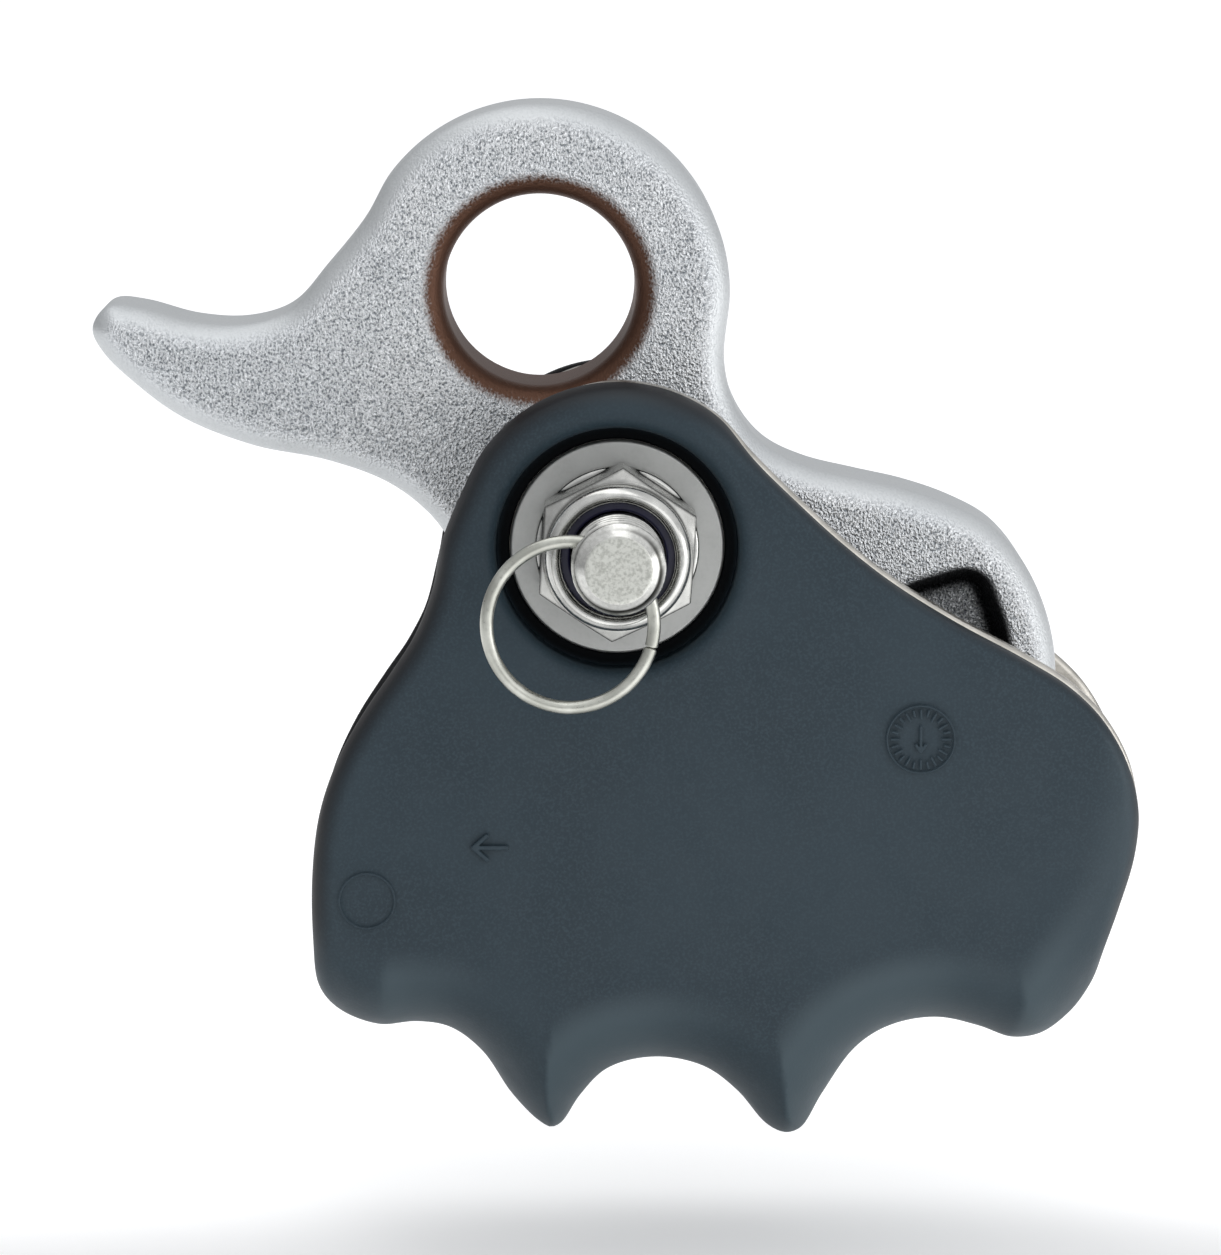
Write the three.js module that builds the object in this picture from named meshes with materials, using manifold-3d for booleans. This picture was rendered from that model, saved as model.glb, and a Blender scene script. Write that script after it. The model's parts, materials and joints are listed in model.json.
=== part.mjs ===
// A hand-operated rope grab for half-inch class rope.
// A bent steel channel wraps round the rope. A soft moulding with finger grooves covers the channel.
// A forged arm turns on a bolt between the channel's two plates: its eye takes a carabiner,
// its right end is the brake lobe that presses the rope, and its left end is the release tail.
//
// Frame, in millimetres: X runs along the rope, Y along the pivot bolt with the nut towards -Y, and Z up.
// The origin is on the channel floor, where the rope lies, straight below the pivot.
import * as THREE from "three";
import { mergeVertices } from "three/addons/utils/BufferGeometryUtils.js";
import Module from "manifold-3d";

// Driving dimensions
const PIVOT_HEIGHT = 35; // from the channel floor to the bolt's axis
const CHANNEL_HALF = 8.25; // half the gap between the plates, for rope up to 16 mm
const PLATE = 2; // steel channel thickness
const SIDE_HALF = 14; // half the width over the moulding
const BOND_GAP = 0.1; // left between faces that touch in the real object
const BOLT_RADIUS = 3.93; // 5/16 inch over the thread
const HEX_FLATS = 12.7; // half-inch spanner size of the nut and the bolt head
const WASHER_THICK = 1.3;
const WASHER_RADIUS = 9.05;
const ARM_HALF = 7; // half the thickness of the forged arm
const HUB_HALF = 6.5; // half the thickness of its hub
const EYE = { x: -6.5, z: 21.2, radius: 8.15, outer: 16.2 }; // measured from the pivot
const ROUND = 48; // sides of a full circle

// Stations along the bolt, measured from the middle of the channel
const PLATE_OUTER = CHANNEL_HALF + PLATE;
const WASHER_INNER_FACE = PLATE_OUTER + BOND_GAP;
const SEAT = WASHER_INNER_FACE + WASHER_THICK + BOND_GAP; // where the nut and the bolt head bear
const NUT_HEX = 6.1;
const NUT_HEIGHT = 8.7;
const HEAD_HEIGHT = 5.3;
const BOLT_END = 27.2;
const CROSS_HOLE_AT = 23.9;
const CROSS_HOLE_RADIUS = 1.3;
const CROSS_HOLE_TILT = THREE.MathUtils.degToRad(-39); // of the hole's axis, from +X towards +Z

const wasm = await Module();
wasm.setup();

// ---- from three.js geometry to a solid and back ----

function solid(geometry) {
  const bare = geometry.clone();
  for (const name of Object.keys(bare.attributes))
    if (name !== "position") bare.deleteAttribute(name);
  const merged = mergeVertices(bare, 1e-4);
  const index = merged.index.array;
  const triVerts = [];
  for (let i = 0; i < index.length; i += 3) {
    const [a, b, c] = index.slice(i, i + 3);
    if (a !== b && b !== c && c !== a) triVerts.push(a, b, c); // a pole's triangles collapse
  }
  return new wasm.Manifold(
    new wasm.Mesh({
      numProp: 3,
      vertProperties: new Float32Array(merged.attributes.position.array),
      triVerts: new Uint32Array(triVerts),
    }),
  );
}

function geometryOf(manifold) {
  const mesh = manifold.getMesh();
  const geometry = new THREE.BufferGeometry();
  geometry.setAttribute("position", new THREE.BufferAttribute(mesh.vertProperties, 3));
  geometry.setIndex(new THREE.BufferAttribute(mesh.triVerts, 1));
  geometry.computeVertexNormals();
  return geometry;
}

function part(name, shape, material, parent) {
  const geometry = shape.isBufferGeometry ? shape : geometryOf(shape);
  const mesh = new THREE.Mesh(geometry, material);
  mesh.name = name;
  parent.add(mesh);
  return mesh;
}

// ---- shared shape helpers ----

// A closed curve through points [x, z], as a Shape.
function smoothShape(points, divisions) {
  const curve = new THREE.CatmullRomCurve3(
    points.map(([x, z]) => new THREE.Vector3(x, z, 0)),
    true,
    "centripetal",
  );
  return new THREE.Shape(curve.getPoints(divisions).slice(0, -1).map((p) => new THREE.Vector2(p.x, p.y)));
}

// Points [x, z] on an arc round a centre, angles in degrees.
function arc(cx, cz, radius, from, to, count) {
  return Array.from({ length: count }, (_, i) => {
    const angle = THREE.MathUtils.degToRad(from + ((to - from) * i) / (count - 1));
    return [cx + radius * Math.cos(angle), cz + radius * Math.sin(angle)];
  });
}

// Extrudes an XZ shape evenly about Y = 0. Its edges round inwards by `inset`, starting `lead` before the face.
function slab(shape, halfThickness, inset = 0, lead = inset, steps = 1) {
  const geometry = new THREE.ExtrudeGeometry(shape, {
    depth: 2 * (halfThickness - lead),
    steps,
    bevelEnabled: inset > 0,
    bevelThickness: lead,
    bevelSize: inset,
    bevelOffset: -inset,
    bevelSegments: 3,
    curveSegments: ROUND / 4,
  });
  geometry.translate(0, 0, -(halfThickness - lead));
  return geometry.rotateX(Math.PI / 2);
}

// A solid of revolution about Y from a profile of [radius, y] that closes on itself or on the axis.
function turned(profile, segments = ROUND) {
  const closed = profile[0][0] > 0 ? [...profile, profile[0]] : profile;
  return new THREE.LatheGeometry(closed.map(([r, y]) => new THREE.Vector2(r, y)), segments);
}

// A washer or bush between two stations on Y.
function ring(inner, outer, y0, y1, segments = ROUND) {
  return turned([[inner, y0], [outer, y0], [outer, y1], [inner, y1]], segments);
}

// A plain round bar along Y, used for cutting.
function bar(radius, y0, y1, x = 0, z = 0) {
  return solid(new THREE.CylinderGeometry(radius, radius, y1 - y0, ROUND).translate(x, (y0 + y1) / 2, z));
}

// A hexagonal bar along Y whose corners are turned off at one or both ends.
function hexBar(y0, y1, chamferLow, chamferHigh, turn) {
  const corner = HEX_FLATS / Math.sqrt(3);
  const flat = HEX_FLATS / 2 - 0.15;
  const drop = 0.6; // length of the turned corner
  const hex = new THREE.CylinderGeometry(corner, corner, y1 - y0, 6)
    .rotateY(Math.PI / 2 - turn)
    .translate(0, (y0 + y1) / 2, 0);
  const cone = turned([
    [0, y0],
    [chamferLow ? flat : corner + 1, y0],
    [corner + 0.05, y0 + drop],
    [corner + 0.05, y1 - drop],
    [chamferHigh ? flat : corner + 1, y1],
    [0, y1],
  ]);
  return solid(hex).intersect(solid(cone));
}

// ---- materials ----

const steel = new THREE.MeshStandardMaterial({ color: 0xb9bab8, roughness: 0.35, metalness: 1 });
const zincSteel = new THREE.MeshStandardMaterial({ color: 0xa7a8a6, roughness: 0.5, metalness: 1 });
const forged = new THREE.MeshStandardMaterial({ color: 0xb4b7ba, roughness: 0.55, metalness: 0.9 });
const moulding = new THREE.MeshStandardMaterial({ color: 0x3b454e, roughness: 0.6, metalness: 0 });
const nylon = new THREE.MeshStandardMaterial({ color: 0x14143a, roughness: 0.45, metalness: 0 });
const acetal = new THREE.MeshStandardMaterial({ color: 0xe6e4dc, roughness: 0.5, metalness: 0 });
const bronze = new THREE.MeshStandardMaterial({ color: 0xa9804a, roughness: 0.4, metalness: 1 });
const springSteel = new THREE.MeshStandardMaterial({ color: 0x7c7c7c, roughness: 0.35, metalness: 1 });

// ---- the shell: steel channel and moulding, in the row frame ----

// Side view of the shell, heights measured from the pivot. The lower edge has two grip points
// with a finger groove between them and one at each end.
function shellOutline() {
  const rightFlank = [
    [15.4, 3.9], [19, 0.6], [23.3, -2.8], [28.7, -6.2], [34.6, -9.4], [38.6, -11.9], [41.6, -14.9],
    [43.7, -18.8], [44.4, -22.8], [44.1, -26.8], [42.9, -31.2], [41.8, -35.2], [41.1, -39],
  ];
  const gripEdge = [
    [39.6, -41.6], [36.9, -43.6], [34, -44], [31.1, -43], [27.6, -42.25], [23.9, -42.9], [21.1, -44.7],
    [18.3, -48.7], [16.4, -51.8], [14.6, -52.4], [12.7, -51.6], [10.1, -48.6], [7.3, -46.5], [3.4, -45.7],
    [-0.4, -46.6], [-2.7, -48.9], [-4.4, -51.4], [-5.7, -51.9], [-7.1, -51.2], [-9.5, -48.7], [-12, -45],
    [-14.6, -43], [-17.2, -42.55], [-20.4, -42.8], [-23.7, -41.7],
  ];
  const leftFlank = [
    [-25.5, -38.9], [-25.9, -34], [-25.95, -28.5], [-25.3, -22.8], [-23.7, -18], [-21.55, -14.1], [-19.3, -10.8],
    [-17.1, -7.4], [-15.6, -3.6], [-14.8, 0.4],
  ];
  const points = [...arc(0, 0, 13.9, 162, 33, 8), ...rightFlank, ...gripEdge, ...leftFlank];
  return points.map(([x, z]) => [x, z + PIVOT_HEIGHT]);
}

// Leans the left flank in towards the far side: nothing on the near face, most halfway up the far face.
const FLANK_LEAN = 1.38;

function leanFlank(geometry) {
  const position = geometry.attributes.position;
  for (let i = 0; i < position.count; i++) {
    if (position.getX(i) >= 0) continue;
    const z = position.getZ(i);
    const height = THREE.MathUtils.smoothstep(z, 7, 23) * (1 - THREE.MathUtils.smoothstep(z, 23, 32));
    const depth = (position.getY(i) + SIDE_HALF) / (2 * SIDE_HALF);
    position.setX(i, position.getX(i) + FLANK_LEAN * height * depth);
  }
  return geometry;
}

// Cross-section of a channel in YZ: flat floor, rounded corners and straight sides.
function channelSection(half, floor, top) {
  const flatHalf = 3;
  const corner = half - flatHalf;
  const section = new THREE.Shape();
  section.moveTo(-half, top);
  section.lineTo(-half, floor + corner);
  section.absarc(-flatHalf, floor + corner, corner, Math.PI, 1.5 * Math.PI, false);
  section.lineTo(flatHalf, floor);
  section.absarc(flatHalf, floor + corner, corner, 1.5 * Math.PI, 2 * Math.PI, false);
  section.lineTo(half, top);
  section.closePath();
  return section;
}

// The same section run along X.
function channelBar(half, floor, top, x0, x1) {
  const geometry = new THREE.ExtrudeGeometry(channelSection(half, floor, top), {
    depth: x1 - x0,
    bevelEnabled: false,
    curveSegments: 8,
  });
  // shape X becomes Y, shape Y becomes Z and the extrusion runs along X
  geometry.applyMatrix4(new THREE.Matrix4().makeBasis(
    new THREE.Vector3(0, 1, 0), new THREE.Vector3(0, 0, 1), new THREE.Vector3(1, 0, 0)));
  return solid(geometry.translate(x0, 0, 0));
}

const SPRING_RADIUS = 8; // of the coil's centreline
const SPRING_FOOT = THREE.MathUtils.degToRad(200); // where the foot enters the plate

function makeChannel() {
  const outline = solid(leanFlank(slab(smoothShape(shellOutline(), 110), 20)));
  const leftInset = 0.8; // the moulding wraps the channel's left edge
  const blank = outline.intersect(outline.translate([leftInset, 0, 0]));
  const wall = channelBar(PLATE_OUTER, -PLATE, 60, -40, 60).subtract(channelBar(CHANNEL_HALF, 0, 70, -50, 70));
  const boltHole = bar(BOLT_RADIUS + 0.2, -20, 20, 0, PIVOT_HEIGHT);
  const footHole = bar(0.7, -20, 0,
    SPRING_RADIUS * Math.cos(SPRING_FOOT), PIVOT_HEIGHT + SPRING_RADIUS * Math.sin(SPRING_FOOT));
  return wall.intersect(blank).subtract(boltHole).subtract(footHole);
}

// The moulding: the side view in the round, narrowing to a rounded underside like a grip.
function makeMoulding() {
  const sideEnds = 0.5; // height where the flat sides start to turn under
  const underHalf = 14.7; // half-width at which the underside would close
  const fullness = 2.3; // 2 would be an ellipse
  const body = leanFlank(slab(smoothShape(shellOutline(), 150), SIDE_HALF, 1.1, 3, 7));
  const position = body.attributes.position;
  for (let i = 0; i < position.count; i++) {
    const z = position.getZ(i);
    if (z >= sideEnds) continue;
    const across = Math.abs(position.getY(i)) / underHalf;
    const share = (1 - across ** fullness) ** (1 / fullness);
    position.setZ(i, sideEnds + (z - sideEnds) * share);
  }
  const recess = 10.2;
  return solid(body)
    .subtract(channelBar(PLATE_OUTER + BOND_GAP, -PLATE - BOND_GAP, 60, -50, 70))
    .subtract(bar(recess, -20, 20, 0, PIVOT_HEIGHT));
}

// ---- the arm, measured from the pivot ----

function armOutline() {
  const tail = [
    [-44.6, 17.9], [-43.3, 19.8], [-40.6, 19.7], [-36, 18.5], [-31.6, 18.3], [-27.8, 19.5], [-24.8, 22.8],
  ];
  const eyeArc = arc(EYE.x, EYE.z - 0.4, EYE.outer, 158, 2, 11);
  const neck = [[9.2, 15], [10.3, 11], [12.7, 7.9], [16.2, 6.1], [20.6, 5], [25, 4], [29, 2.6]];
  const lobe = [
    [32.4, 0.7], [35, -2.4], [36.9, -6.6], [37.7, -11], [37.3, -15.6], [35.3, -19.4], [31.4, -21.3],
    [25.8, -21.3], [19.6, -19.2], [13.2, -14.8], [8, -11.6],
  ];
  const hubUnderside = [[2, -10.4], [-4, -10], [-9.4, -7.2], [-12.9, -2.6], [-15.7, 1.7]];
  const tailUnderside = [[-19.3, 4.6], [-24.6, 6.6], [-31, 7.9], [-37, 10.3], [-41.2, 13.4], [-43.7, 15.9]];
  return [...tail, ...eyeArc, ...neck, ...lobe, ...hubUnderside, ...tailUnderside];
}

// A pocket with sloping walls in the lobe's face at Y = side * ARM_HALF.
function lobePocket(side) {
  const floor = [[23.4, -8.4], [29.7, -3.9], [31.3, -5.7], [32.3, -9.6], [31.5, -14.6], [26.2, -15]];
  const mouth = [[20.4, -6.2], [26, -3.1], [30, -2.1], [31.9, -3], [33, -5.3], [34, -9], [33.2, -15.6], [25.4, -17]];
  const depth = 3;
  const points = [];
  for (const [x, z] of mouth) points.push([x, side * (ARM_HALF + 0.5), z]);
  for (const [x, z] of mouth) points.push([x, side * ARM_HALF, z]);
  for (const [x, z] of floor) points.push([x, side * (ARM_HALF - depth), z]);
  return wasm.Manifold.hull(points);
}

const POCKET = { inner: 6.9, outer: 9.3, depth: 4.6 }; // round groove for the torsion spring
const SPRING_TOE = THREE.MathUtils.degToRad(110); // where the spring's other end seats in the arm

function makeArm() {
  const shape = smoothShape(armOutline(), 110);
  shape.holes.push(new THREE.Path().absarc(EYE.x, EYE.z, EYE.radius, 0, 2 * Math.PI, false));
  let arm = solid(slab(shape, ARM_HALF, 1.5));
  const hubFace = 15; // radius within which the arm is thinned to turn between the plates
  for (const side of [-1, 1]) {
    const near = side * HUB_HALF;
    const far = side * (ARM_HALF + 1);
    arm = arm.subtract(bar(hubFace, Math.min(near, far), Math.max(near, far))).subtract(lobePocket(side));
  }
  const springGroove = solid(ring(POCKET.inner, POCKET.outer, -ARM_HALF - 1, -HUB_HALF + POCKET.depth));
  const toeSlot = solid(new THREE.BoxGeometry(5, 2, 1.7).translate(POCKET.outer + 0.5, -HUB_HALF + 3.6, 0)
    .rotateY(-SPRING_TOE));
  arm = arm.subtract(springGroove).subtract(toeSlot).subtract(bar(6.2, -10, 10));
  // shallow ridges across the brake face
  for (const [x, z] of [[22.2, -21.1], [25, -21.9], [28, -22.1], [31, -22.1], [33.9, -21.2]])
    arm = arm.subtract(bar(1.1, -10, 10, x, z));
  return arm;
}

// The torsion spring: foot into the front plate, three turns round the hub and a toe in the arm.
function makeSpring() {
  const wire = 0.55;
  const turns = 2.98 + (SPRING_TOE - SPRING_FOOT) / (2 * Math.PI);
  const start = -HUB_HALF - 0.2;
  const pitch = 1.3;
  const steps = 14 * Math.ceil(turns);
  const at = (radius, angle, y) => new THREE.Vector3(radius * Math.cos(angle), y, radius * Math.sin(angle));
  const points = [at(SPRING_RADIUS, SPRING_FOOT, -PLATE_OUTER + 0.4), at(SPRING_RADIUS, SPRING_FOOT, start - 0.9)];
  for (let i = 1; i <= steps; i++) {
    const share = i / steps;
    points.push(at(SPRING_RADIUS, SPRING_FOOT + share * turns * 2 * Math.PI, start + share * turns * pitch));
  }
  const last = start + turns * pitch;
  points.push(at(SPRING_RADIUS + 1.3, SPRING_TOE, last), at(SPRING_RADIUS + 2.6, SPRING_TOE, last));
  const path = new THREE.CatmullRomCurve3(points, false, "centripetal");
  const section = new THREE.Shape(arc(0, 0, wire, 0, 300, 6).map(([x, y]) => new THREE.Vector2(x, y)));
  return new THREE.ExtrudeGeometry(section, { steps: 110, extrudePath: path, bevelEnabled: false });
}

// ---- pivot hardware, measured from the pivot ----

const HEX_TURN = THREE.MathUtils.degToRad(26.3);

function makeBolt() {
  const endRadius = 2.65;
  const taper = 2.2; // length of the rounded end
  const shank = solid(turned([
    [0, -BOLT_END],
    [endRadius, -BOLT_END],
    [3.45, -BOLT_END + 0.7],
    [BOLT_RADIUS, -BOLT_END + taper],
    [BOLT_RADIUS, SEAT + 1],
    [0, SEAT + 1],
  ]));
  const crossHole = solid(new THREE.CylinderGeometry(CROSS_HOLE_RADIUS, CROSS_HOLE_RADIUS, 12, 16)
    .rotateZ(Math.PI / 2)
    .rotateY(-CROSS_HOLE_TILT)
    .translate(0, -CROSS_HOLE_AT, 0));
  return shank.add(hexBar(SEAT, SEAT + HEAD_HEIGHT, false, true, 0))
    .subtract(crossHole);
}

// A hexagon nut with a thin round flange at its seat and a collar that holds the locking insert.
function makeNut() {
  const front = -SEAT - NUT_HEIGHT;
  const shoulder = -SEAT - NUT_HEX;
  const collar = solid(turned([
    [0, front],
    [5, front],
    [5.4, front + 0.12],
    [5.85, front + 0.6],
    [6.05, front + 1.3],
    [6.05, shoulder + 1],
    [0, shoulder + 1],
  ]));
  const flange = solid(turned([
    [0, -SEAT - 1],
    [6.5, -SEAT - 1],
    [6.95, -SEAT - 0.6],
    [6.95, -SEAT],
    [0, -SEAT],
  ]));
  return hexBar(shoulder, -SEAT, true, true, HEX_TURN).add(collar).add(flange)
    .subtract(bar(BOLT_RADIUS + 0.1, -40, 0))
    .subtract(bar(5.05, front + 0.8, shoulder - 0.3))
    .subtract(bar(4.67, front - 1, front + 0.9));
}

function makeInsert() {
  const front = -SEAT - NUT_HEIGHT;
  return ring(BOLT_RADIUS + 0.1, 4.95, front + 0.9, -SEAT - NUT_HEX - 0.4);
}

// The keeper ring: one turn of wire through the bolt's cross hole, hanging beside the bolt.
function makeKeeperRing() {
  const wire = 0.55;
  const radius = 6.9;
  const offset = 6.3; // from the hole's axis to the ring's centre, so its curve clears the hole
  const joint = THREE.MathUtils.degToRad(-16); // where the wire's two ends meet
  const jointGap = 0.03; // radians
  const centre = new THREE.Vector3(
    offset * Math.sin(CROSS_HOLE_TILT), -CROSS_HOLE_AT, -offset * Math.cos(CROSS_HOLE_TILT));
  class RingPath extends THREE.Curve {
    getPoint(t, target = new THREE.Vector3()) {
      const angle = joint + jointGap / 2 + t * (2 * Math.PI - jointGap);
      return target.set(centre.x + radius * Math.cos(angle), centre.y, centre.z + radius * Math.sin(angle));
    }
  }
  const section = new THREE.Shape(arc(0, 0, wire, 0, 315, 8).map(([x, y]) => new THREE.Vector2(x, y)));
  return new THREE.ExtrudeGeometry(section, { steps: 48, extrudePath: new RingPath(), bevelEnabled: false });
}

// ---- assembly ----

const grab = new THREE.Group();
part("channel", makeChannel(), zincSteel, grab);
part("grip_moulding", makeMoulding(), moulding, grab);

const pivot = new THREE.Group(); // everything carried on the bolt's axis
pivot.position.z = PIVOT_HEIGHT;
grab.add(pivot);

part("pivot_bolt", makeBolt(), steel, pivot);
part("lock_nut", makeNut(), steel, pivot);
part("nut_insert", makeInsert(), nylon, pivot);
part("keeper_ring", makeKeeperRing(), steel, pivot);
part("front_washer", ring(BOLT_RADIUS + 0.2, WASHER_RADIUS, -SEAT + BOND_GAP, -WASHER_INNER_FACE), steel, pivot);
part("rear_washer", ring(BOLT_RADIUS + 0.2, WASHER_RADIUS, WASHER_INNER_FACE, SEAT - BOND_GAP), steel, pivot);

// The spacer sleeve takes the nut's clamping load, so that the arm stays free to turn.
const SLEEVE_RADIUS = 5;
const THRUST = { inner: 5.2, outer: 6.7 };
part("spacer_sleeve", ring(BOLT_RADIUS + 0.1, SLEEVE_RADIUS, -CHANNEL_HALF + 0.05, CHANNEL_HALF - 0.05), steel, pivot);
part("front_thrust_washer", ring(THRUST.inner, THRUST.outer, -CHANNEL_HALF + 0.1, -HUB_HALF - 0.1), acetal, pivot);
part("rear_thrust_washer", ring(THRUST.inner, THRUST.outer, HUB_HALF + 0.1, CHANNEL_HALF - 0.1), acetal, pivot);
part("return_spring", makeSpring(), springSteel, pivot);

const arm = new THREE.Group(); // turns about the bolt
pivot.add(arm);
part("cam_arm", makeArm(), forged, arm);
part("arm_bush", ring(SLEEVE_RADIUS + 0.1, 6.1, -HUB_HALF, HUB_HALF), bronze, arm);

export default grab;
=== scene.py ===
"""The looks of a rope grab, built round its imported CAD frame.

Shapes are worked out in millimetres, measured from the frame, and turned into metres as each mesh is made.
Most pieces are signed-distance fields, negative inside the material, that surface_net() turns into meshes:
a field joins, cuts and rounds shapes exactly, so every edge gets the radius that the real part has.
"""

import functools
import json
import math

import bpy
import numpy as np
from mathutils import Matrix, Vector


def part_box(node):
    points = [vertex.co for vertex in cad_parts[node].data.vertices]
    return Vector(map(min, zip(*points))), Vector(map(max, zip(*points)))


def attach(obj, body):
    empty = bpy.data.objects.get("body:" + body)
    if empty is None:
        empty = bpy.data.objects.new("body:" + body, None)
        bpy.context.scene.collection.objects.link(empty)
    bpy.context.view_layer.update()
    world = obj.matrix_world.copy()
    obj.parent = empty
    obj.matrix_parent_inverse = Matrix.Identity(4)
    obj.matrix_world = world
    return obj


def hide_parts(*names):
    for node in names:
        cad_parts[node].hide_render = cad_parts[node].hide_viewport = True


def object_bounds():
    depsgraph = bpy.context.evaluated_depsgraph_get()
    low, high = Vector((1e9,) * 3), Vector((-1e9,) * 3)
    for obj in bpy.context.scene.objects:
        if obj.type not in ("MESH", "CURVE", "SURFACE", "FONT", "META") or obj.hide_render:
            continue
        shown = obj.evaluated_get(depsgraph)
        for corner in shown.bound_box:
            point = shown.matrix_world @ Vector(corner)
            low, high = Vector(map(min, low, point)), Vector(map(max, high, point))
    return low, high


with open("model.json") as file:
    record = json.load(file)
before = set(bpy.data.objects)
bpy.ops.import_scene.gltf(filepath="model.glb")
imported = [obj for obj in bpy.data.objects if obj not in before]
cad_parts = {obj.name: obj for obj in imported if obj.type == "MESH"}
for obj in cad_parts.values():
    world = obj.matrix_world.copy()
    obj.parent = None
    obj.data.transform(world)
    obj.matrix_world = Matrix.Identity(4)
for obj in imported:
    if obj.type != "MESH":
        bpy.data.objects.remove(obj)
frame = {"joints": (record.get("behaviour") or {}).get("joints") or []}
cad_low, cad_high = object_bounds()

MM = 0.001


# -------------------------------------------------- sizes from the frame


def box_mm(node):
    """Lowest and highest corners of a CAD node, in millimetres."""
    low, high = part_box(node)
    return np.array(low) / MM, np.array(high) / MM


JOINTS = {joint["name"]: joint for joint in frame["joints"]}
PIVOT_HEIGHT = JOINTS["arm_pivot"]["pos_m"][2] / MM
CROSS_HOLE_AT = -JOINTS["ring_swing"]["pos_m"][1] / MM
CROSS_HOLE_AXIS = np.array(JOINTS["ring_swing"]["axis"])

PLATE_OUTER = box_mm("channel")[1][1]
PLATE = -box_mm("channel")[0][2]
CHANNEL_HALF = PLATE_OUTER - PLATE
SIDE_HALF = box_mm("grip_moulding")[1][1]
ARM_HALF = box_mm("cam_arm")[1][1]
HUB_HALF = box_mm("arm_bush")[1][1]
BOLT_END = -box_mm("pivot_bolt")[0][1]
HEAD_TOP = box_mm("pivot_bolt")[1][1]
NUT_SEAT, NUT_FRONT = -box_mm("lock_nut")[1][1], -box_mm("lock_nut")[0][1]
WASHER_RADIUS = box_mm("front_washer")[1][0]
WASHER_FACES = -box_mm("front_washer")[1][1], -box_mm("front_washer")[0][1]
SLEEVE_RADIUS = box_mm("spacer_sleeve")[1][0]

BOND_GAP = 0.1  # left between faces that touch in the real object
BOLT_RADIUS = 3.9
CROSS_HOLE_RADIUS = 1.3
HEX_HALF = 6.35  # half-inch spanner size
HEX_TURN = math.radians(26.3)  # of the nut's first corner, from +X towards +Z
EYE_X, EYE_Z, EYE_RADIUS, EYE_OUTER = -6.5, 21.2, 8.15, 16.2  # measured from the pivot


# -------------------------------------------------- curves


def arc(centre_x, centre_z, radius, start, end, count):
    """Points on an arc, angles in degrees."""
    angles = np.radians(np.linspace(start, end, count))
    return [(centre_x + radius * math.cos(a), centre_z + radius * math.sin(a)) for a in angles]


def smooth_curve(points, closed, per_span):
    """A centripetal Catmull-Rom curve through the points, in two or three dimensions."""
    points = np.array(points, float)
    if closed:
        before, after = points[-1:], points[:2]
    else:
        before, after = 2 * points[:1] - points[1:2], 2 * points[-1:] - points[-2:-1]
    chain = np.vstack([before, points, after])
    p0, p1, p2, p3 = chain[:-3], chain[1:-2], chain[2:-1], chain[3:]
    d0, d1, d2 = (np.sqrt(np.linalg.norm(b - a, axis=1))[:, None] for a, b in ((p0, p1), (p1, p2), (p2, p3)))
    m1 = ((p1 - p0) / d0 - (p2 - p0) / (d0 + d1) + (p2 - p1) / d1) * d1
    m2 = ((p2 - p1) / d1 - (p3 - p1) / (d1 + d2) + (p3 - p2) / d2) * d1
    t = np.linspace(0, 1, per_span, endpoint=False)[None, :, None]
    p1, p2, m1, m2 = (v[:, None, :] for v in (p1, p2, m1, m2))
    curve = p1 + m1 * t + (3 * (p2 - p1) - 2 * m1 - m2) * t**2 + (2 * (p1 - p2) + m1 + m2) * t**3
    curve = curve.reshape(-1, points.shape[1])
    return curve if closed else np.vstack([curve, points[-1:]])


# -------------------------------------------------- distance fields


def soft_max(a, b, reach):
    """The larger of two distances, with their crossing rounded over that reach."""
    blend = np.maximum(reach - np.abs(a - b), 0) / reach
    return np.maximum(a, b) + blend * blend * reach / 4


def soft_min(a, b, reach):
    """The smaller of two distances, with their crossing filled over that reach."""
    return -soft_max(-a, -b, reach)


def rounded(a, b, radius):
    """The common part of two fields, their shared edge rounded to a radius."""
    corner = np.hypot(np.maximum(a + radius, 0), np.maximum(b + radius, 0))
    return corner + np.minimum(np.maximum(a, b) + radius, 0) - radius


def smooth_step(t):
    """A smooth ramp from 0 at t = 0 to 1 at t = 1."""
    t = np.clip(t, 0, 1)
    return t * t * (3 - 2 * t)


def common(*fields):
    """The part that all the fields share, with sharp edges."""
    return functools.reduce(np.maximum, fields)


def joined(*fields):
    """All the fields together, with sharp edges."""
    return functools.reduce(np.minimum, fields)


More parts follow.
